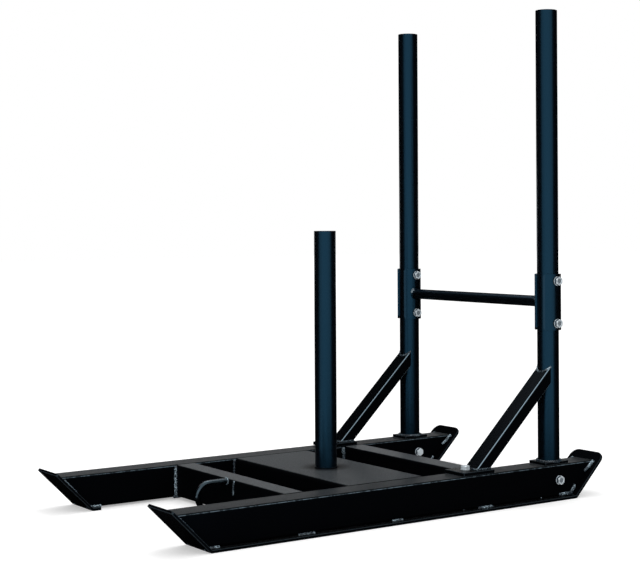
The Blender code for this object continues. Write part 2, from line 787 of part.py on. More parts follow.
def make_side(side_name, side):
    """Everything that the sled has once on its left and once on its right."""
    x = side * RAIL_X
    make_rail(side_name + "_rail", side)
    make_skid_plate(side_name + "_skid_plate", side)
    make_upright(side_name + "_upright", side)
    make_cap(side_name + "_upright_cap", x, UPRIGHT_Y, UPRIGHT_TOP)
    make_base_flange(side_name + "_base_flange", side)
    make_brace_foot(side_name + "_brace_foot", side)
    make_brace(side_name + "_brace", side)
    make_saddle(side_name + "_inner_saddle", side, -side)
    make_saddle(side_name + "_outer_saddle", side, side)
    fasten_saddles(side_name, side)
    fasten_upright(side_name, side)
    fasten_foot(side_name, side)


def make_sled():
    for side_name, side in SIDES.items():
        make_side(side_name, side)
    make_cross_member("front_cross_member", FRONT_CROSS_Y, FRONT_CROSS_WIDTH)
    make_cross_member("rear_cross_member", REAR_CROSS_Y, REAR_CROSS_WIDTH)
    make_deck()
    make_pipe("weight_post", 0, POST_Y, RAIL_TOP - DECK_THICKNESS, RAIL_TOP + POST_HEIGHT)
    make_cap("weight_post_cap", 0, POST_Y, RAIL_TOP + POST_HEIGHT)
    make_tow_loop()
    make_crossbar()


clear_scene()
make_sled()
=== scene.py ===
# %% [markdown]
# # A weight sled, dressed for its picture
#
# A weight sled is a low steel frame that an athlete pushes by two uprights or pulls by a loop.
# It is welded from box section, flat bar and pipe, and then powder coated black all over.
# The solids are already modelled at their real size. This lesson rounds their edges, lays the
# weld beads, makes real bolts, and gives every surface its finish.

# %% Load the solids
import math

import bpy
from mathutils import Matrix, Vector


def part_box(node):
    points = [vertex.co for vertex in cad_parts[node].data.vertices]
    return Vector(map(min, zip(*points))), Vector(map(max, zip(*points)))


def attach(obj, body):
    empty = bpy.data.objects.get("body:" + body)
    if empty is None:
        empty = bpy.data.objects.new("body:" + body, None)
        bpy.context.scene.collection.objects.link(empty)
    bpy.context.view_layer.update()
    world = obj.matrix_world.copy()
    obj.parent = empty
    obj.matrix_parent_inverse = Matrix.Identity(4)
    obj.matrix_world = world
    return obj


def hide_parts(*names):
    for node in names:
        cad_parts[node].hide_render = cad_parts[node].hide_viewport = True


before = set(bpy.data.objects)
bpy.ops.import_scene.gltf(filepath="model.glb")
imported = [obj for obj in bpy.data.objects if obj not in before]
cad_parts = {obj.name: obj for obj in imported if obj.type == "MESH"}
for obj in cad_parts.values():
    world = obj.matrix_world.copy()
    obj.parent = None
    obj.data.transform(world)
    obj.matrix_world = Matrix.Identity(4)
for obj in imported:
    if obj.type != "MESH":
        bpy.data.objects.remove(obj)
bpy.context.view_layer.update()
print("solids:", len(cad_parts))

# %% [markdown]
# ## Rounding the steel
#
# No edge of real steel is perfectly sharp. Cutting and the coat of powder leave a radius of about
# a millimetre, and that radius is what catches the light as a thin bright line. The solids come
# as loose triangles, so each one is copied, its doubled points are merged and its flats are made
# whole. A Bevel modifier can then find the true edges by their angle. Bevelling a copy was chosen
# over drawing each piece again, because a copy is certain to fit its neighbours.

# %% Tools for picking and shaping
ROUND_FACE_ANGLE = math.radians(30)


def pick(piece):
    """Make this the only selected and active object."""
    if bpy.context.object and bpy.context.object.mode != "OBJECT":
        bpy.ops.object.mode_set(mode="OBJECT")
    bpy.ops.object.select_all(action="DESELECT")
    piece.select_set(True)
    bpy.context.view_layer.objects.active = piece


def edit_all(piece):
    """Open the piece in edit mode with all of it selected."""
    pick(piece)
    bpy.ops.object.mode_set(mode="EDIT")
    bpy.ops.mesh.select_mode(type="VERT")
    bpy.ops.mesh.select_all(action="SELECT")


def apply_modifier(piece, kind, **settings):
    """Add one modifier, set it and apply it."""
    modifier = piece.modifiers.new(kind.title(), kind)
    for name, value in settings.items():
        setattr(modifier, name, value)
    pick(piece)
    bpy.ops.object.modifier_apply(modifier=modifier.name)


def soften_edges(piece, radius, segments=2):
    """Round the true edges and shade the piece so that its flats stay flat."""
    settings = {"width": radius, "segments": segments, "limit_method": "ANGLE"}
    apply_modifier(piece, "BEVEL", angle_limit=ROUND_FACE_ANGLE, **settings)
    pick(piece)
    bpy.ops.object.shade_smooth_by_angle(angle=ROUND_FACE_ANGLE)
    apply_modifier(piece, "WEIGHTED_NORMAL", keep_sharp=True)


def finish_piece(piece, slot, *nodes):
    """Hang the piece on the sled and hide the solids that it stands for; the slot is not used."""
    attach(piece, "root")
    if nodes:
        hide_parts(*nodes)


# %% Copy a solid with rounded edges
FLATNESS = math.radians(0.5)
DOUBLE_DISTANCE = 1e-5


def rounded_copy(node, edge_radius, slot):
    """A copy of a solid, with flats made whole and edges rounded, that stands for the solid."""
    piece = bpy.data.objects.new(node + "_rounded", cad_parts[node].data.copy())
    bpy.context.scene.collection.objects.link(piece)
    edit_all(piece)
    bpy.ops.mesh.customdata_custom_splitnormals_clear()
    bpy.ops.mesh.remove_doubles(threshold=DOUBLE_DISTANCE)
    bpy.ops.mesh.dissolve_limited(angle_limit=FLATNESS)
    bpy.ops.object.mode_set(mode="OBJECT")
    soften_edges(piece, edge_radius)
    finish_piece(piece, slot, node)
    return piece


# %% Round every steel piece
STEEL = "black_powder_coat"
PAIRED_EDGE_RADIUS = {
    "rail": 0.0006,
    "skid_plate": 0.0009,
    "upright": 0.0006,
    "base_flange": 0.0008,
    "brace_foot": 0.0009,
    "brace": 0.0006,
    "inner_saddle": 0.0009,
    "outer_saddle": 0.0009,
}
MIDDLE_EDGE_RADIUS = {
    "front_cross_member": 0.0004,
    "rear_cross_member": 0.0004,
    "deck_plate": 0.0006,
    "weight_post": 0.0006,
    "tow_loop": 0.0004,
    "crossbar": 0.0004,
}
steel = {}
for side in ("left", "right"):
    for part, radius in PAIRED_EDGE_RADIUS.items():
        steel[side + "_" + part] = rounded_copy(side + "_" + part, radius, STEEL)
for node, radius in MIDDLE_EDGE_RADIUS.items():
    steel[node] = rounded_copy(node, radius, STEEL)
print("rounded pieces:", len(steel), "faces:", sum(len(p.data.polygons) for p in steel.values()))

# %% Mark the rounded edges for the finish
WIDEST_STRIP = 0.0026
ROUND_BARS = ("tow_loop", "crossbar")


def mark_edges(piece, widest):
    """Store 1 on the narrow strips that round the piece's edges, and return their number."""
    mark = piece.data.attributes.new("edge", "FLOAT", "CORNER")
    strips = 0
    for face in piece.data.polygons:
        points = [piece.data.vertices[i].co for i in face.vertices]
        longest = max((a - b).length for a, b in zip(points, points[1:] + points[:1]))
        if face.area / longest < widest:
            strips += 1
            for loop in face.loop_indices:
                mark.data[loop].value = 1
    return strips


edged = [piece for node, piece in steel.items() if node not in ROUND_BARS]
print("strips marked as edges:", sum(mark_edges(piece, WIDEST_STRIP) for piece in edged))

# %% [markdown]
# ## Plugs in the pipes
#
# The open ends of the uprights and the post are closed by pressed-in plastic plugs. A moulded rim
# is softer than a cut steel edge, so the same copying is used here with a larger radius.

# %% Round the plugs
PLUG_EDGE = 0.0015
plugs = []
for node in ("left_upright_cap", "right_upright_cap", "weight_post_cap"):
    plugs.append(rounded_copy(node, PLUG_EDGE, "black_plastic"))
print("plugs:", len(plugs))

# %% [markdown]
# ## Bolts, nuts and washers
#
# A bolt's head is cut from hexagon bar, and its corners are turned off to a shallow cone. The
# same happens here: a cone is taken as the cutter, and a Boolean keeps what lies in both. A bevel
# would round each corner by itself and miss that curved line. The dish in the head and the ridges
# of the thread are extruded and scaled, one step at a time. Each fastener is modelled once,
# upright, with its outer face on the floor plane, and then copied to every place where it is used.

# %% Hexagon bar with turned corners
CHAMFER_SLOPE = math.radians(30)
CHAMFER_START = 0.96
TURNED_SIDES = 48


def combine(piece, cutter, operation):
    """Apply a Boolean between the piece and the cutter, and throw the cutter away."""
    apply_modifier(piece, "BOOLEAN", operation=operation, object=cutter, solver="EXACT")
    bpy.data.objects.remove(cutter)


def hexagon(name, across_flats, height, faces):
    """A hexagon prism below the floor plane, turned to a cone at its top, or at both faces."""
    radius = across_flats / 2 / math.cos(math.pi / 6)
    middle = (0, 0, -height / 2)
    bpy.ops.object.select_all(action="DESELECT")
    bpy.ops.mesh.primitive_cylinder_add(vertices=6, radius=radius, depth=height, location=middle)
    piece = bpy.context.object
    piece.name = name
    bpy.ops.object.transform_apply(location=True)
    small = across_flats / 2 * CHAMFER_START
    large = small + height / math.tan(CHAMFER_SLOPE)
    for lower, upper in ((large, small), (small, large))[:faces]:
        bpy.ops.object.select_all(action="DESELECT")
        bpy.ops.mesh.primitive_cone_add(
            vertices=TURNED_SIDES, radius1=lower, radius2=upper, depth=height, location=middle
        )
        combine(piece, bpy.context.object, "INTERSECT")
    return piece


# %% A bolt with a dished head and a threaded tail
FLAT_ENOUGH = 0.99
DISH_DEPTH = 0.0005
DISH_STEPS = ((0.74, 0), (0.88, -DISH_DEPTH))
THREAD_PITCH = 0.00175
THREAD_DEPTH = 0.0006
THREAD_TURNS = 5
BOLT_EDGE = 0.0002


def select_faces(piece, wanted):
    """Edit the piece with only the faces selected for which wanted(face) is true."""
    pick(piece)
    bpy.ops.object.mode_set(mode="EDIT")
    bpy.ops.mesh.select_mode(type="FACE")
    bpy.ops.mesh.select_all(action="DESELECT")
    bpy.ops.object.mode_set(mode="OBJECT")
    for face in piece.data.polygons:
        face.select = wanted(face)
    bpy.ops.object.mode_set(mode="EDIT")


def extrude_and_scale(drop, scale):
    """Extrude the selected faces down, and scale them about the bolt's own axis."""
    bpy.ops.mesh.extrude_region_move(TRANSFORM_OT_translate={"value": (0, 0, drop)})
    bpy.ops.transform.resize(value=(scale, scale, 1), center_override=(0, 0, 0))


def bolt(name, across_flats, head, diameter, length):
    """A bolt that hangs from the floor plane: head first, then the shank and its thread."""
    piece = hexagon(name, across_flats, head, 1)
    select_faces(piece, lambda face: face.normal.z > FLAT_ENOUGH)
    for scale, drop in DISH_STEPS:
        extrude_and_scale(drop, scale)
    bpy.ops.mesh.select_all(action="DESELECT")
    shank = length - head - THREAD_PITCH * THREAD_TURNS
    middle = -head - shank / 2
    bpy.ops.mesh.primitive_cylinder_add(
        vertices=TURNED_SIDES // 2, radius=diameter / 2, depth=shank, location=(0, 0, middle)
    )
    bpy.ops.object.mode_set(mode="OBJECT")
    select_faces(piece, lambda face: face.normal.z < -FLAT_ENOUGH and face.center.z < middle)
    narrow = 1 - 2 * THREAD_DEPTH / diameter
    for turn in range(THREAD_TURNS * 2):
        extrude_and_scale(-THREAD_PITCH / 2, 1 / narrow if turn % 2 else narrow)
    bpy.ops.object.mode_set(mode="OBJECT")
    soften_edges(piece, BOLT_EDGE)
    return piece


# %% A nut and a washer
NUT_EDGE = 0.0003
WASHER_EDGE = 0.0004


def nut(name, across_flats, height, diameter):
    """A hexagon turned at both faces, with a bore."""
    piece = hexagon(name, across_flats, height, 2)
    bpy.ops.object.select_all(action="DESELECT")
    bpy.ops.mesh.primitive_cylinder_add(
        vertices=TURNED_SIDES // 2,
        radius=diameter / 2,
        depth=height * 2,
        location=(0, 0, -height / 2),
    )
    combine(piece, bpy.context.object, "DIFFERENCE")
    soften_edges(piece, NUT_EDGE)
    return piece


def washer(name, outside, hole, thickness):
    """A flat ring: both faces of a disc are inset to the hole and bridged."""
    bpy.ops.object.select_all(action="DESELECT")
    bpy.ops.mesh.primitive_cylinder_add(
        vertices=TURNED_SIDES, radius=outside / 2, depth=thickness, location=(0, 0, -thickness / 2)
    )
    piece = bpy.context.object
    piece.name = name
    bpy.ops.object.transform_apply(location=True)
    select_faces(piece, lambda face: abs(face.normal.z) > FLAT_ENOUGH)
    bpy.ops.mesh.inset(thickness=(outside - hole) / 2)
    bpy.ops.mesh.bridge_edge_loops()
    bpy.ops.object.mode_set(mode="OBJECT")
    soften_edges(piece, WASHER_EDGE)
    return piece


# %% Store the painted shade of the plating
UPRIGHT_PAINTED_SHADE = 0.3
SIDE_PAINTED_SHADE = 1.0
HEAD_PAINTED_SHADE = 0.35
DISH_PAINTED_SHADE = 0.85
SIDEWAYS = 0.5
UPWARDS = 0.9
RIM_LEVEL = -DISH_DEPTH * 0.4
DISH_LEVEL = -DISH_DEPTH * 1.2


def mark_painted_shade(piece, is_bolt, side_painted_shade):
    """Store painted shade: most on the flats, less in the head's dish and on its top."""
    mark = piece.data.attributes.new("dull", "FLOAT", "CORNER")
    for face in piece.data.polygons:
        dull = side_painted_shade if abs(face.normal.z) < SIDEWAYS else 0
        if is_bolt and face.normal.z > UPWARDS and face.center.z > DISH_LEVEL:
            dull = HEAD_PAINTED_SHADE if face.center.z > RIM_LEVEL else DISH_PAINTED_SHADE
        for loop in face.loop_indices:
            mark.data[loop].value = dull


# %% Model the fastener that a solid stands for
UP = Vector((0, 0, 1))
BOLT_DIAMETER = 0.012
BOLT_HEAD = 0.0065
BORE_CLEARANCE = 0.0002


def node_box(node):
    """The lowest and the highest corner of a solid."""
    low, high = (Vector(corner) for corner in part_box(node))
    return low, high


def size_along(node, outward):
    """The solid's size along its axis, and its smallest size across it."""
    low, high = node_box(node)
    sizes = high - low
    along = abs(sizes.dot(outward))
    across = min(size for size, part in zip(sizes, outward) if abs(part) < 0.5)
    return along, across


def model_fastener(part, node, outward):
    """One bolt, nut or washer of the solid's size, at the origin."""
    along, across = size_along(node, outward)
    if part == "bolt":
        piece = bolt(part, across, BOLT_HEAD, BOLT_DIAMETER, along)
    elif part == "nut":
        piece = nut(part, across, along, BOLT_DIAMETER + BORE_CLEARANCE)
    else:
        piece = washer(part, across, BOLT_DIAMETER + BORE_CLEARANCE, along)
    # painted shade: the sides of bolts that point up get less of it than those that point sideways
    mark_painted_shade(piece, part == "bolt", UPRIGHT_PAINTED_SHADE if outward == UP else SIDE_PAINTED_SHADE)
    return piece


# %% Put a copy of each fastener where its solid is
HARDWARE = "zinc_plated_steel"
SPREAD_TURN = math.radians(23)


def put_copy(master, node, outward, turn):
    """Copy a fastener, turn its top outward and bring it to its solid."""
    low, high = node_box(node)
    reach = outward * abs((high - low).dot(outward)) / 2
    place = Matrix.Translation((low + high) / 2 + reach)
    facing = outward.to_track_quat("Z", "Y").to_matrix().to_4x4()
    piece = bpy.data.objects.new(node + "_turned", master.data.copy())
    piece.data.transform(place @ facing @ Matrix.Rotation(turn, 4, "Z"))
    bpy.context.scene.collection.objects.link(piece)
    finish_piece(piece, HARDWARE, node)
    return piece


def head_direction(kind, sign):
    """The foot bolts point up, the rail bolts outward, and all the saddle bolts to the right."""
    if kind == "foot":
        return UP
    return Vector((sign if kind == "rail" else 1, 0, 0))


def fasten(kind):
    """Model the bolt, nut and washers of one kind, and copy them to both sides of the sled."""
    copies = []
    masters = {}
    for side, sign in (("right", 1), ("left", -1)):
        outward = head_direction(kind, sign)
        for part in ("bolt", "nut", "bolt_washer", "nut_washer"):
            node = side + "_" + kind + "_" + part
            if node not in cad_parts:
                continue
            if part not in masters:
                masters[part] = model_fastener(part, node, outward)
            facing = outward if part.startswith("bolt") else -outward
            turn = 0 if part == "nut" else SPREAD_TURN * len(copies)
            copies.append(put_copy(masters[part], node, facing, turn))
    for master in masters.values():
        bpy.data.objects.remove(master)
    print(kind, "fasteners:", len(copies))
    return copies


fasteners = []
for kind in ("lower_saddle", "upper_saddle", "rail", "foot"):
    fasteners += fasten(kind)

# %% [markdown]
# ## Weld beads
#
# A weld bead is a row of frozen drops, each a little over the last. The beads are made that way:
# a small ball is set down every few millimetres along the joint, a voxel Remesh melts the balls
# into one skin, and a Smooth softens it until only the ripple is left. A plain tube along the
# joint would be simpler, but it has no ripple and catches no glints.

# %% Lay one bead along a path
DROP_STEP = 0.0025
DROP_WOBBLE = 0.10
WOBBLE_TURN = 2.4
BEAD_VOXEL = 0.001
beads = []


def walk(path, step):
    """Points at even steps along a path of points."""
    points = []
    left_over = 0.0
    for start, end in zip(path, path[1:]):
        length = (end - start).length
        at = left_over
        while at < length:
            points.append(start.lerp(end, at / length))
            at += step
        left_over = at - length
    return points


def lay_bead(name, paths, radius):
    """One piece of frozen drops along each path."""
    piece = bpy.data.objects.new(name, bpy.data.meshes.new(name))
    bpy.context.scene.collection.objects.link(piece)
    pick(piece)
    bpy.ops.object.mode_set(mode="EDIT")
    for path in paths:
        for count, place in enumerate(walk(path, DROP_STEP)):
            size = radius * (1 + DROP_WOBBLE * math.sin(count * WOBBLE_TURN + len(name)))
            bpy.ops.mesh.primitive_ico_sphere_add(subdivisions=2, radius=size, location=place)
    bpy.ops.object.mode_set(mode="OBJECT")
    apply_modifier(piece, "REMESH", mode="VOXEL", voxel_size=BEAD_VOXEL)
    apply_modifier(piece, "SMOOTH", factor=0.5, iterations=2)
    pick(piece)
    bpy.ops.object.shade_smooth()
    finish_piece(piece, STEEL)
    beads.append(piece)


def ring(centre, radius, normal, sides=36):
    """A closed circle of points."""
    facing = normal.to_track_quat("Z", "Y")
    points = []
    for side in range(sides + 1):
        angle = 2 * math.pi * side / sides
        points.append(centre + facing @ Vector((math.cos(angle), math.sin(angle), 0)) * radius)
    return points


# %% Beads round the pipes
PIPE_RADIUS = 0.02415
FLANGE_BEAD = 0.0034
FLANGE_BEAD_OUT = 0.002
COLLAR_BEAD = 0.0026
COLLAR_BEAD_OUT = 0.0006
TACK_BEAD = 0.0035
TACK_IN = 0.002
TACK_TOP = (-0.0085, 0.0115)
TACK_FOOT = (-0.0135, 0.004)
POST_BEAD = 0.0016
POST_BEAD_OUT = 0.0005


def lay_crossbar_beads(side):
    """A ring where the crossbar meets its saddle, and a tack in front of the ring."""
    low, high = node_box("crossbar")
    axis = (low + high) / 2
    end = low.x if side == "left" else high.x
    inward = TACK_IN if side == "left" else -TACK_IN
    radius = (high.z - low.z) / 2 + COLLAR_BEAD_OUT
    collar = ring(Vector((end, axis.y, axis.z)), radius, Vector((1, 0, 0)), 24)
    lay_bead(side + "_crossbar_weld", [collar], COLLAR_BEAD)
    top = Vector((end + inward, axis.y + TACK_TOP[0], axis.z + TACK_TOP[1]))
    foot = Vector((end, axis.y + TACK_FOOT[0], axis.z + TACK_FOOT[1]))
    lay_bead(side + "_crossbar_tack", [[top, foot]], TACK_BEAD)


def lay_foot_ring(name, pipe, carrier, radius, bead):
    """A ring round the pipe, on the top of what carries it."""
    low, high = node_box(pipe)
    centre = (low + high) / 2
    centre.z = node_box(carrier)[1].z
    lay_bead(name, [ring(centre, radius, UP)], bead)


for side in ("left", "right"):
    names = (side + "_flange_weld", side + "_upright", side + "_base_flange")
    lay_foot_ring(*names, PIPE_RADIUS + FLANGE_BEAD_OUT, FLANGE_BEAD)
    lay_crossbar_beads(side)
lay_foot_ring("post_weld", "weight_post", "deck_plate", PIPE_RADIUS + POST_BEAD_OUT, POST_BEAD)
print("beads round the pipes:", len(beads))

# %% Beads between the rails and what they carry
MEMBER_BEAD = 0.005
DECK_BEAD = 0.0036
BEAD_FOOT_GAP = 0.001
BEAD_TOP_GAP = 0.005
REAR_TACK_BEAD = 0.0055
REAR_TACK_OUT = 0.002
REAR_TACK_DEPTHS = (0.007, 0.012)


def lay_member_beads(side, sign):
    """Upright beads at the ends of the cross members and the deck."""
    rail_low, rail_high = node_box(side + "_rail")
    inner = rail_low.x if sign > 0 else rail_high.x
    for member in ("front_cross_member", "rear_cross_member", "deck_plate"):
        low, high = node_box(member)
        paths = []
        for y in (low.y, high.y):
            bottom = Vector((inner, y, max(low.z, rail_low.z) + BEAD_FOOT_GAP))
            paths.append([bottom, Vector((inner, y, high.z - BEAD_TOP_GAP))])
        bead = DECK_BEAD if member == "deck_plate" else MEMBER_BEAD
        lay_bead(side + "_" + member + "_weld", paths, bead)
    low, high = node_box("rear_cross_member")
    tack = [Vector((inner, low.y - REAR_TACK_OUT, high.z - depth)) for depth in REAR_TACK_DEPTHS]
    lay_bead(side + "_rear_tack", [tack], REAR_TACK_BEAD)


for side, sign in (("left", -1), ("right", 1)):
    lay_member_beads(side, sign)
print("beads so far:", len(beads))

# %% Beads between the rails and the skid plates
SKID_THICKNESS = 0.006
SKID_BEAD = 0.0038
STITCHES = ((-0.472, -0.444), (-0.262, -0.229), (-0.033, -0.012), (0.195, 0.231))
TOE_RUN = ((-0.527, 0.067), (-0.500, 0.040))
HEEL_RUN = ((0.529, 0.0735), (0.504, 0.056))
HEEL_CORNER = ((0.472, 0.025), (0.461, 0.0105), (0.428, 0.0108))
TOE_BEAD = 0.0024
TOE_BEAD_INSET = 0.004
TOE_EDGE = (-0.5365, 0.0768)


def lay_skid_beads(side):
    """Short stitches along the sole, and longer runs up the slanted ends."""
    low, high = node_box(side + "_rail")
    runs = [((start, SKID_THICKNESS), (end, SKID_THICKNESS)) for start, end in STITCHES]
    runs += [TOE_RUN, HEEL_RUN, HEEL_CORNER]
    for face in ("inner", "outer"):
        x = low.x if (side == "left") == (face == "outer") else high.x
        paths = [[Vector((x, y, z)) for y, z in run] for run in runs]
        lay_bead(side + "_" + face + "_skid_weld", paths, SKID_BEAD)
    edge = [Vector((x, *TOE_EDGE)) for x in (low.x + TOE_BEAD_INSET, high.x - TOE_BEAD_INSET)]
    lay_bead(side + "_toe_weld", [edge], TOE_BEAD)


for side in ("left", "right"):
    lay_skid_beads(side)
print("beads so far:", len(beads))

# %% Spatter on the right skid plate
SPATTER = ((0.2865, 0.153, 0.0078), (0.3005, 0.205, 0.0050), (0.2865, 0.372, 0.0085))
SPATTER_BEAD = 0.0022
SPATTER_LENGTH = 0.0005

drops = [[Vector(place), Vector(place) + UP * SPATTER_LENGTH] for place in SPATTER]
lay_bead("right_skid_spatter", drops, SPATTER_BEAD)
print("drops of spatter:", len(drops))

# %% Beads on the braces
BRACE_SLOPE = math.radians(44)
BRACE_DEPTH = 0.027
BRACE_BEAD = 0.0025
HALF_STEPS = 4


def lay_brace_beads(side):
    """A bead where the brace lands on the round of the upright, and one round its foot."""
    low, high = node_box(side + "_brace")
    pipe_low, pipe_high = node_box(side + "_upright")
    axis = (pipe_low + pipe_high) / 2
    half = (high.x - low.x) / 2
    landing = []
    for step in range(2 * HALF_STEPS + 1):
        x = half * (step / HALF_STEPS - 1)
        y = axis.y - math.sqrt(PIPE_RADIUS**2 - x**2)
        landing.append(Vector((axis.x + x, y, low.z + (y - low.y) * math.tan(BRACE_SLOPE))))
    heel = low.y + BRACE_DEPTH / math.sin(BRACE_SLOPE)
    corners = [(-half, low.y), (half, low.y), (half, heel), (-half, heel), (-half, low.y)]
    foot = [Vector((axis.x + x, y, low.z + BEAD_FOOT_GAP)) for x, y in corners]
    lay_bead(side + "_brace_weld", [landing], BRACE_BEAD)
    lay_bead(side + "_brace_foot_weld", [foot], BRACE_BEAD)


for side in ("left", "right"):
    lay_brace_beads(side)
print("beads so far:", len(beads))

# %% Beads on the tow loop
LOOP_BAR = 0.012
LOOP_BEAD = 0.0018
LOOP_BEAD_OUT = 0.0008
LOOP_SPATTER = ((0.031, 0.0735), (0.029, 0.060), (0.027, 0.045))
LOOP_SPATTER_BEAD = 0.0024


def lay_tow_loop_beads():
    """A ring where each leg of the loop meets the cross member, and spatter beside them."""
    low, high = node_box("tow_loop")
    face = node_box("front_cross_member")[0].y
    rings = []
    for z in (high.z - LOOP_BAR / 2, low.z + LOOP_BAR / 2):
        centre = Vector(((low.x + high.x) / 2, face, z))
        rings.append(ring(centre, LOOP_BAR / 2 + LOOP_BEAD_OUT, Vector((0, -1, 0)), 16))
    lay_bead("tow_loop_weld", rings, LOOP_BEAD)
    spatter = [Vector((x, face, z)) for x, z in LOOP_SPATTER]
    lay_bead("tow_loop_spatter", [spatter], LOOP_SPATTER_BEAD)


lay_tow_loop_beads()
print("all beads:", len(beads), "faces:", sum(len(p.data.polygons) for p in beads))

# %% [markdown]
# ## Writing finishes as sums
#
# A finish is a graph of small nodes. Written one node at a time it is hard to read, so a small
# class wraps a socket, and adding or multiplying two of them adds the Math node for it.

# %% A socket that can be added and multiplied
class Signal:
    """One output of a shader node."""

    def __init__(self, tree, socket=None):
        self.tree = tree
        self.socket = socket

    def node(self, kind, settings, sockets, output=0):
        """A new node: its settings are set first, then the values or links of its sockets."""
        made = self.tree.nodes.new(kind)
        for name, value in settings.items():
            if name == "stops":
                set_stops(made.color_ramp, value)
            else:
                setattr(made, name, value)
        for name, value in sockets.items():
            if isinstance(value, Signal):
                self.tree.links.new(value.socket, made.inputs[name])
            else:
                made.inputs[name].default_value = value
        return Signal(self.tree, made.outputs[output])

    def math(self, operation, *values):
        return self.node("ShaderNodeMath", {"operation": operation}, dict(enumerate(values)))

    def __add__(self, other):
        return self.math("ADD", self, other)

    def __mul__(self, other):
        return self.math("MULTIPLY", self, other)

    def __sub__(self, other):
        return self.math("SUBTRACT", self, other)

    def __rsub__(self, other):
        return self.math("SUBTRACT", other, self)

    __radd__ = __add__
    __rmul__ = __mul__


def set_stops(ramp, stops):
    """Give a colour ramp these (position, value) stops."""
    while len(ramp.elements) > 1:
        ramp.elements.remove(ramp.elements[-1])
    ramp.elements[0].position = stops[0][0]
    ramp.elements[0].color = (*[stops[0][1]] * 3, 1)
    for position, value in stops[1:]:
        ramp.elements.new(position).color = (*[value] * 3, 1)


# %% Start a finish
def new_finish(name):
    """An empty finish: its material, its surface shader and the place on the object as a signal."""
    material = bpy.data.materials.new(name)
    material.use_nodes = True
    tree = material.node_tree
    surface = tree.nodes["Principled BSDF"]
    place = Signal(tree).node("ShaderNodeTexCoord", {}, {}, "Object")
    return material, surface, place


def feed(surface, name, signal):
    """Link a signal to one socket of the surface shader."""
    signal.tree.links.new(signal.socket, surface.inputs[name])


def give(piece, material):
    """Make this the piece's only finish."""
    piece.data.materials.clear()
    piece.data.materials.append(material)


# %% Signals that the finishes share
def noise(place, scale, detail=2.0, roughness=0.5):
    """Cloudy noise between 0 and 1, with this many clouds to the metre."""
    sockets = {"Vector": place, "Scale": scale, "Detail": detail, "Roughness": roughness}
    return place.node("ShaderNodeTexNoise", {}, sockets)


def reshape(signal, stops):
    """The signal sent through a ramp of (position, value) stops."""
    return signal.node("ShaderNodeValToRGB", {"stops": stops}, {0: signal})


def stored(place, name):
    """A value that was stored on the mesh."""
    return place.node("ShaderNodeAttribute", {"attribute_name": name}, {}, "Fac")


def blend(mask, first, second):
    """The first colour where the mask is 0 and the second where it is 1."""
    first, second = (c if isinstance(c, Signal) else (*c, 1) for c in (first, second))
    return mask.node("ShaderNodeMix", {"data_type": "RGBA"}, {0: mask, 6: first, 7: second}, 2)


def roughen(surface, height, strength, distance):
    """Tilt the surface by a height, as a fine texture does."""
    sockets = {"Strength": strength, "Distance": distance, "Height": height}
    feed(surface, "Normal", height.node("ShaderNodeBump", {}, sockets))


# %% [markdown]
# ## Black powder coat
#
# The powder melts into a skin with a fine sandy grain, a millimetre or two across. Seen square on
# it is almost black, with a cold blue shine. What faces up is painted grey, partly a little dust
# and partly painted light, the light that the tops catch, and it is speckled between the grains.
# The thin pale lines along the edges are painted highlights. The grain is a bump from two scales
# of noise, a slow mottle varies the gloss and the dust and top light, and the painted highlights
# lie on the strips that were marked as edges. A painted picture could hold all this too, but noise
# has no seams and is sharp from any distance.

# %% Dust and painted light on what faces up
CLOUDED = (0.7, 0.2, 0.4)
FACING_UP = [(0.92, 0), (0.995, 1)]
SPECKLED = [(0.38, 0.5), (0.62, 1.5)]
# painted reflection: how far round the post's foot the deck is darkened
POST_REFLECTION_FALLOFF = [(0.030, 1), (0.060, 0)]


def dust_and_top_light_mask(upward, mottle, grain, sand, amount):
    """How much dust and painted top light lies here: faces turned up are made pale grey."""
    even, slow, fine = CLOUDED
    cloud = even + mottle * slow + grain * fine
    return reshape(upward, FACING_UP) * cloud * reshape(sand, SPECKLED) * amount


def painted_post_reflection(place, centre):
    """1 close to the centre and 0 away from it: a painted dark reflection of the post on the deck
    round its foot.
    """
    measure = {"operation": "DISTANCE"}
    away = place.node("ShaderNodeVectorMath", measure, {0: place, 1: centre}, 1)
    return reshape(away, POST_REFLECTION_FALLOFF)


# %% Painted highlights on the edges
HIGHLIGHT_BREAK_SCALE = 90
BROKEN_HIGHLIGHT = [(0.42, 0.15), (0.58, 1)]
HALF_TURNED = [(0.46, 0), (0.62, 1), (0.78, 0)]
MOST_TURNED = [(0.20, 0), (0.45, 1), (0.92, 0)]


def part_of(vector, axis):
    """One part of a vector: 0, 1 or 2 for X, Y or Z."""
    return vector.node("ShaderNodeSeparateXYZ", {}, {0: vector}, axis)


def painted_edge_highlight(place, normal, upward, edges, amount):
    """How much painted highlight the edges get: all of them, the broken upper ones, or those turned
    to a side.
    """
    edge_lit = stored(place, "edge") * amount
    if edges == "upper":
        edge_lit = edge_lit * reshape(noise(place, HIGHLIGHT_BREAK_SCALE, 4, 0.7), BROKEN_HIGHLIGHT)
        return edge_lit * reshape(upward, HALF_TURNED)
    if edges == "side":
        along_x = part_of(normal, 0)
        return edge_lit * reshape(along_x.math("ABSOLUTE", along_x), MOST_TURNED)
    return edge_lit


# %% The coat
GRAIN_SCALE = 700
SPECK_SCALE = 2200
MOTTLE_SCALE = 9
SAND_SCALE = 300
COAT_BLACK = (0.0010, 0.0011, 0.0015)
DUST_AND_TOP_LIGHT_GREY = (0.38, 0.42, 0.45)
# painted highlight: the pale blue of the thin light lines along the rounded edges
EDGE_HIGHLIGHT_COLOUR = (0.36, 0.49, 0.58)
COAT_SHINE = (0.14, 0.56, 1.0, 1)
GRAIN_STRENGTH = 0.1
GRAIN_HEIGHT = 0.0003
UNEVENNESS = 0.11


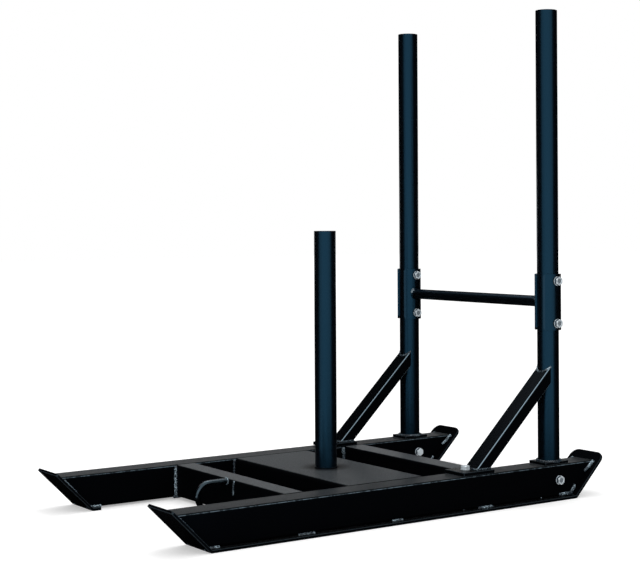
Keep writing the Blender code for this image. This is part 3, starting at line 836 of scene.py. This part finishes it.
def powder_coat(
    name, shine, roughness, dust_and_top_light, edge_highlight=0.0, edges="all", post_reflection_at=None, tint=COAT_SHINE
):
    """Black powder coat with this much shine, roughness, dust and painted top light, and painted
    edge highlight.
    """
    material, surface, place = new_finish(name)
    grain = noise(place, GRAIN_SCALE, 3, 0.6)
    speck = noise(place, SPECK_SCALE, 1)
    mottle = noise(place, MOTTLE_SCALE, 4, 0.6)
    sand = noise(place, SAND_SCALE, 1)
    normal = place.node("ShaderNodeNewGeometry", {}, {}, "Normal")
    upward = part_of(normal, 2)
    # dust and painted light: faces turned up are lightened to the grey that the light on the tops
    # gives them
    dust_and_light_share = dust_and_top_light_mask(upward, mottle, grain, sand, dust_and_top_light)
    # painted reflection: no dust or top light round the post's foot, so the deck is darker where it
    # mirrors the dark post
    if post_reflection_at:
        dust_and_light_share = dust_and_light_share * (1 - painted_post_reflection(place, post_reflection_at))
    dusted_and_top_lit = blend(dust_and_light_share, COAT_BLACK, DUST_AND_TOP_LIGHT_GREY)
    edge_lit = painted_edge_highlight(place, normal, upward, edges, edge_highlight)
    # painted highlight: the pale edge lines are blended over the coat
    feed(surface, "Base Color", blend(edge_lit, dusted_and_top_lit, EDGE_HIGHLIGHT_COLOUR))
    uneven = mottle * 0.04 + speck * 0.06 + sand * 0.12
    feed(surface, "Roughness", uneven + (roughness - UNEVENNESS))
    roughen(surface, grain * 0.7 + speck * 0.3, GRAIN_STRENGTH, GRAIN_HEIGHT)
    surface.inputs["Specular IOR Level"].default_value = shine
    surface.inputs["Specular Tint"].default_value = tint
    return material


# %% One coat for each kind of steel piece
# where the post stands on the deck, the centre of its painted dark reflection
POST_FOOT = (0, -0.00375, 0.0763)
RUBBED_SHINE = (0.55, 0.82, 1.0, 1)
# the dust amount of each coat paints its tops grey: partly settled dust, partly painted top light
FLAT_COAT = powder_coat("flat_steel_powder_coat", shine=0.05, roughness=0.36, dust_and_top_light=0.15)
DECK_COAT = powder_coat(
    "deck_powder_coat", shine=0.015, roughness=0.36, dust_and_top_light=0.12, post_reflection_at=POST_FOOT
)
RAIL_COAT = powder_coat(
    "rail_powder_coat", shine=0.02, roughness=0.34, dust_and_top_light=0.07, edge_highlight=0.35, edges="upper"
)
BRACE_COAT = powder_coat(
    "brace_powder_coat", shine=0.08, roughness=0.28, dust_and_top_light=0.06, edge_highlight=1.0, edges="side"
)
SKID_COAT = powder_coat(
    "skid_powder_coat", shine=0.02, roughness=0.28, dust_and_top_light=0.01, edge_highlight=0.06
)
PIPE_COAT = powder_coat(
    "pipe_powder_coat", shine=0.6, roughness=0.30, dust_and_top_light=0.03, edge_highlight=0.02
)
LOOP_COAT = powder_coat(
    "tow_loop_powder_coat", shine=1.0, roughness=0.18, dust_and_top_light=0.30, tint=RUBBED_SHINE
)
COAT_OF = {
    "rail": RAIL_COAT,
    "skid_plate": SKID_COAT,
    "upright": PIPE_COAT,
    "base_flange": SKID_COAT,
    "brace_foot": SKID_COAT,
    "brace": BRACE_COAT,
    "inner_saddle": PIPE_COAT,
    "outer_saddle": PIPE_COAT,
    "front_cross_member": FLAT_COAT,
    "rear_cross_member": FLAT_COAT,
    "deck_plate": DECK_COAT,
    "weight_post": PIPE_COAT,
    "tow_loop": LOOP_COAT,
    "crossbar": PIPE_COAT,
}

for node, piece in steel.items():
    give(piece, COAT_OF[node.removeprefix("left_").removeprefix("right_")])
print("coated:", len(steel))

# %% [markdown]
# ## The coat on the welds
#
# Powder runs off the tops of the ripples and gathers between them, so a bead is glossier than the
# flats round it, and bare specks of metal show through. The specks are pale and cold blue, so they
# are also painted glints, the cold light that the beads catch. One noise makes the specks and a
# slower one gathers them in patches, so no two stretches look the same.

# %% Weld coat
BLOTCH_SCALE = 420
PATCH_SCALE = 45
WELD_BLACK = (0.006, 0.012, 0.020)
# bare metal and painted glint: the pale cold blue of the specks
WELD_BARE_AND_GLINT = (0.50, 0.66, 0.76)
SPECKS_OF_METAL_AND_GLINT = [(0.46, 0), (0.60, 1)]
PATCHES_OF_SPECKS = [(0.42, 0.1), (0.56, 1)]


def weld_coat(name, bare_and_glint_share):
    """The coat on a bead, with this share of pale specks: bare metal and painted glints."""
    material, surface, place = new_finish(name)
    blotch = noise(place, BLOTCH_SCALE, 3, 0.6)
    patch = noise(place, PATCH_SCALE)
    bare_and_glint = reshape(blotch, SPECKS_OF_METAL_AND_GLINT) * reshape(patch, PATCHES_OF_SPECKS) * bare_and_glint_share
    feed(surface, "Base Color", blend(bare_and_glint, WELD_BLACK, WELD_BARE_AND_GLINT))
    feed(surface, "Metallic", bare_and_glint * 0.5)
    feed(surface, "Roughness", blotch * 0.25 + 0.15)
    roughen(surface, blotch, 0.3, 0.0003)
    return material


BARE_GLINTING_WELD = weld_coat("bare_glinting_weld", 1)
COATED_WELD = weld_coat("coated_weld", 0.25)

# %% Give each bead its coat
# these beads get fewer pale specks, so less bare metal and fewer painted glints
WELL_COATED = ("flange_weld", "brace_foot_weld", "rear_cross_member_weld", "deck_plate_weld")


def weld_finish(name):
    """The crossbar's and the post's rings are coated as their neighbours are."""
    if name.endswith("crossbar_weld"):
        return PIPE_COAT
    if name == "post_weld":
        return FLAT_COAT
    return COATED_WELD if name.endswith(WELL_COATED) else BARE_GLINTING_WELD


for bead in beads:
    give(bead, weld_finish(bead.name))
print("well coated beads:", sum(bead.active_material != BARE_GLINTING_WELD for bead in beads))

# %% [markdown]
# ## Zinc and plastic
#
# The fasteners are zinc plated and clouded all over. Their light and dark are partly painted:
# bright and cold on the faces that a lamp finds, and painted shade on the flats of the hexagons and
# in the head's dish, from values that were stored on the meshes. The plugs in the pipe ends are
# moulded plastic with a fine matt texture.

# %% Zinc plate
CLOUD_SCALE = 220
STREAK_SCALE = 1500
ZINC_CLOUD = (0.70, 0.84, 0.94)
ZINC_BRIGHT = (0.96, 0.99, 1.0)
# painted shade: the dark cold blue of the shaded flats
ZINC_PAINTED_SHADE = (0.012, 0.035, 0.055)


def zinc_plate():
    """Bright plating with a slow cloud, fine streaks and painted shade where it was stored."""
    material, surface, place = new_finish("zinc_plate")
    cloud = noise(place, CLOUD_SCALE, 3, 0.6)
    streak = noise(place, STREAK_SCALE)
    plated = blend(cloud, ZINC_CLOUD, ZINC_BRIGHT)
    # painted shade: the stored values darken the plating
    feed(surface, "Base Color", blend(stored(place, "dull") * 0.9, plated, ZINC_PAINTED_SHADE))
    feed(surface, "Roughness", cloud * 0.16 + 0.12)
    roughen(surface, streak, 0.12, 0.0002)
    surface.inputs["Metallic"].default_value = 0.35
    return material


ZINC = zinc_plate()
for fastener in fasteners:
    give(fastener, ZINC)
print("plated:", len(fasteners))


# %% Moulded plastic
TEXTURE_SCALE = 1200
PLASTIC_DARK = (0.008, 0.008, 0.009)
PLASTIC_PALE = (0.016, 0.016, 0.017)


def moulded_plastic():
    """Black plastic with the texture of its mould."""
    material, surface, place = new_finish("plug_plastic")
    texture = noise(place, TEXTURE_SCALE)
    feed(surface, "Base Color", blend(texture, PLASTIC_DARK, PLASTIC_PALE))
    feed(surface, "Roughness", texture * 0.15 + 0.45)
    roughen(surface, texture, 0.2, 0.0002)
    return material


PLASTIC = moulded_plastic()
for plug in plugs:
    give(plug, PLASTIC)
print("plastic plugs:", len(plugs))

# %% [markdown]
# ## The studio
#
# The sled stands on a plain white floor in a white room. A strip lamp overhead lights the tops,
# and a wide softbox near the camera draws one soft band down each pipe. Black steel shows only
# what it mirrors, so a photographer hangs dark cloths where it should stay black. Here a round
# cloth lies under the sled, a second one beside it, and two curved dark screens stand at the
# sides, while a low grey card behind brightens the flat tops. Only reflections see these, so they
# take no light from the sled and cast no shadow on the floor.

# %% White floor
FLOOR_SIZE = 40
FLOOR_GLOW = 0.35
PAPER_SCALE = 3
PAPER_DARK = (0.80, 0.80, 0.80)
PAPER_PALE = (0.82, 0.82, 0.82)
BLACK = (0, 0, 0)
WHITE = (1, 1, 1)


def ray(place, kind):
    """1 where the floor is seen by this kind of ray."""
    return place.node("ShaderNodeLightPath", {}, {}, kind)


def white_floor():
    """A paper floor that glows a little where it is seen or mirrored, and still takes shadows."""
    bpy.ops.object.select_all(action="DESELECT")
    bpy.ops.mesh.primitive_plane_add(size=FLOOR_SIZE, location=(0, 0, 0))
    floor = bpy.context.object
    floor.name = "floor"
    material, surface, place = new_finish("white_floor")
    surface.inputs["Roughness"].default_value = 0.9
    surface.inputs["Specular IOR Level"].default_value = 0
    feed(surface, "Base Color", blend(noise(place, PAPER_SCALE), PAPER_DARK, PAPER_PALE))
    seen = ray(place, "Is Camera Ray") + ray(place, "Is Glossy Ray")
    seen = seen + ray(place, "Is Transmission Ray")
    feed(surface, "Emission Color", blend(seen, BLACK, WHITE))
    surface.inputs["Emission Strength"].default_value = FLOOR_GLOW
    give(floor, material)
    print("floor:", FLOOR_SIZE, "m square")


white_floor()


# %% White room
def white_room():
    """Even white light from all round."""
    world = bpy.data.worlds.new("white_studio")
    world.use_nodes = True
    background = world.node_tree.nodes["Background"]
    background.inputs["Color"].default_value = (1, 1, 1, 1)
    background.inputs["Strength"].default_value = 1
    bpy.context.scene.world = world
    print("world:", world.name)


white_room()

# %% Lamps
VIEW_AZIMUTH = math.radians(55.0)
TOWARDS_CAMERA = Vector((math.sin(VIEW_AZIMUTH), -math.cos(VIEW_AZIMUTH), 0))
STRIP_PLACE = TOWARDS_CAMERA * -0.6 + UP * 2.6
STRIP_TARGET = UP * 0.2
STRIP_SIZE = (1.6, 0.4)
STRIP_RADIANCE = 6.0
SOFTBOX_PLACE = TOWARDS_CAMERA * 3.3 + UP
SOFTBOX_TARGET = UP * 0.5
SOFTBOX_SIZE = (4.6, 2.6)
SOFTBOX_RADIANCE = 0.3


def softbox(name, place, target, size, radiance):
    """A rectangular lamp of this brightness, turned to its target."""
    lamp = bpy.data.lights.new(name, "AREA")
    lamp.shape = "RECTANGLE"
    lamp.size, lamp.size_y = size
    lamp.energy = radiance * lamp.size * lamp.size_y * math.pi
    item = bpy.data.objects.new(name, lamp)
    bpy.context.scene.collection.objects.link(item)
    item.location = place
    item.rotation_euler = (target - place).to_track_quat("-Z", "Y").to_euler()
    item.visible_camera = False
    print(name, "energy", round(lamp.energy, 1), "W")


softbox("top_strip", STRIP_PLACE, STRIP_TARGET, STRIP_SIZE, STRIP_RADIANCE)
softbox("front_softbox", SOFTBOX_PLACE, SOFTBOX_TARGET, SOFTBOX_SIZE, SOFTBOX_RADIANCE)


# %% Cloth that only reflections see
WEAVE_SCALE = 4
WEAVE_CONTRAST = 0.1


def stage_cloth(name, grey):
    """Matt cloth of this grey, with a weave that is hardly seen."""
    material, surface, place = new_finish(name)
    surface.inputs["Roughness"].default_value = 1
    surface.inputs["Specular IOR Level"].default_value = 0
    dark = [grey * (1 - WEAVE_CONTRAST)] * 3
    pale = [grey * (1 + WEAVE_CONTRAST)] * 3
    feed(surface, "Base Color", blend(noise(place, WEAVE_SCALE), dark, pale))
    return material


def hang_cloth(cloth, finish):
    """Let only reflections see the cloth."""
    give(cloth, finish)
    cloth.visible_camera = False
    cloth.visible_diffuse = False
    cloth.visible_shadow = False
    cloth.visible_transmission = False
    print("hung:", cloth.name)


# %% Dark cloths on the floor
CLOTH = stage_cloth("black_cloth", 0.005)
CLOTH_LEVEL = 0.001
CLOTH_RADIUS = 0.62
SIDE_CLOTH_PLACE = (0.67, 0.45, CLOTH_LEVEL * 1.5)
SIDE_CLOTH_SIZE = (0.7, 1.5, 1)

bpy.ops.object.select_all(action="DESELECT")
bpy.ops.mesh.primitive_circle_add(
    vertices=48, radius=CLOTH_RADIUS, fill_type="NGON", location=(0, 0, CLOTH_LEVEL)
)
bpy.context.object.name = "round_cloth"
bpy.ops.object.transform_apply(location=True)
hang_cloth(bpy.context.object, CLOTH)
bpy.ops.object.select_all(action="DESELECT")
bpy.ops.mesh.primitive_plane_add(size=1, location=SIDE_CLOTH_PLACE)
bpy.context.object.name = "side_cloth"
bpy.ops.transform.resize(value=SIDE_CLOTH_SIZE)
bpy.ops.object.transform_apply(location=True, scale=True)
hang_cloth(bpy.context.object, CLOTH)

# %% Curved screens
SCREEN_START = math.radians(56)
SCREEN_SWEEP = math.pi - SCREEN_START
SCREEN_DISTANCE = 2.6
SCREEN_HEIGHT = 3.0
SCREEN_FOOT = CLOTH_RADIUS * 0.6
SCREEN = ((SCREEN_FOOT, CLOTH_LEVEL * 2), (SCREEN_DISTANCE, 0), (SCREEN_DISTANCE, SCREEN_HEIGHT))
APEX = TOWARDS_CAMERA * -0.25


def curved_screen(name, start, sweep, profile, finish):
    """Spin a profile of (distance, height) points about the sled, from an azimuth on."""
    outward = Vector((math.sin(start), -math.cos(start), 0))
    screen = bpy.data.objects.new(name, bpy.data.meshes.new(name))
    bpy.context.scene.collection.objects.link(screen)
    points = [APEX + outward * distance + UP * height for distance, height in profile]
    screen.data.from_pydata(points, [(i, i + 1) for i in range(len(points) - 1)], [])
    edit_all(screen)
    bpy.ops.mesh.spin(steps=24, angle=-sweep, center=APEX, axis=(0, 0, 1))
    bpy.ops.object.mode_set(mode="OBJECT")
    hang_cloth(screen, finish)


curved_screen("right_screen", VIEW_AZIMUTH + SCREEN_START, SCREEN_SWEEP, SCREEN, CLOTH)
curved_screen("left_screen", VIEW_AZIMUTH - SCREEN_START, -SCREEN_SWEEP, SCREEN, CLOTH)

# %% A low grey card behind the sled
GREY_CARD = stage_cloth("grey_card", 0.70)
CARD_DISTANCE = 2.5
CARD = ((CARD_DISTANCE, 0.30), (CARD_DISTANCE, 0.80))
CARD_HALF_SWEEP = math.radians(40)
CARD_START = VIEW_AZIMUTH + math.pi - CARD_HALF_SWEEP

curved_screen("low_card", CARD_START, CARD_HALF_SWEEP * 2, CARD, GREY_CARD)

# %% [markdown]
# ## The camera
#
# The photograph was taken from the front right, a little above the middle of the sled, with the
# camera held level. The lens is long and the picture is shifted instead of tilted, so the
# uprights stay parallel.

# %% Camera
PICTURE_WIDTH = 640
PICTURE_HEIGHT = 565
SENSOR = 36.0
CAMERA_PLACE = (2.71785, -1.85756, 0.61604)
CAMERA_ELEVATION = math.radians(-0.2)
CAMERA_ROLL = math.radians(-0.3)
FOCAL_PIXELS = 1488.5
CENTRE_PIXEL = (343.0, 217.1)
FARTHEST_SEEN = 100


def aim_camera():
    """A camera at the photograph's place, with its lens and shift."""
    lens = bpy.data.cameras.new("camera")
    camera = bpy.data.objects.new("camera", lens)
    bpy.context.scene.collection.objects.link(camera)
    turn = Matrix.Rotation(VIEW_AZIMUTH, 4, "Z")
    tilt = Matrix.Rotation(math.pi / 2 - CAMERA_ELEVATION, 4, "X")
    roll = Matrix.Rotation(CAMERA_ROLL, 4, "Z")
    camera.matrix_world = Matrix.Translation(CAMERA_PLACE) @ turn @ tilt @ roll
    lens.sensor_width = SENSOR
    lens.lens = FOCAL_PIXELS * SENSOR / PICTURE_WIDTH
    lens.shift_x = (PICTURE_WIDTH / 2 - CENTRE_PIXEL[0]) / PICTURE_WIDTH
    lens.shift_y = (CENTRE_PIXEL[1] - PICTURE_HEIGHT / 2) / PICTURE_WIDTH
    lens.clip_end = FARTHEST_SEEN
    bpy.context.scene.camera = camera
    print("lens", round(lens.lens, 2), "mm, shift", round(lens.shift_x, 4), round(lens.shift_y, 4))


aim_camera()
bpy.context.scene.view_settings.view_transform = "Standard"
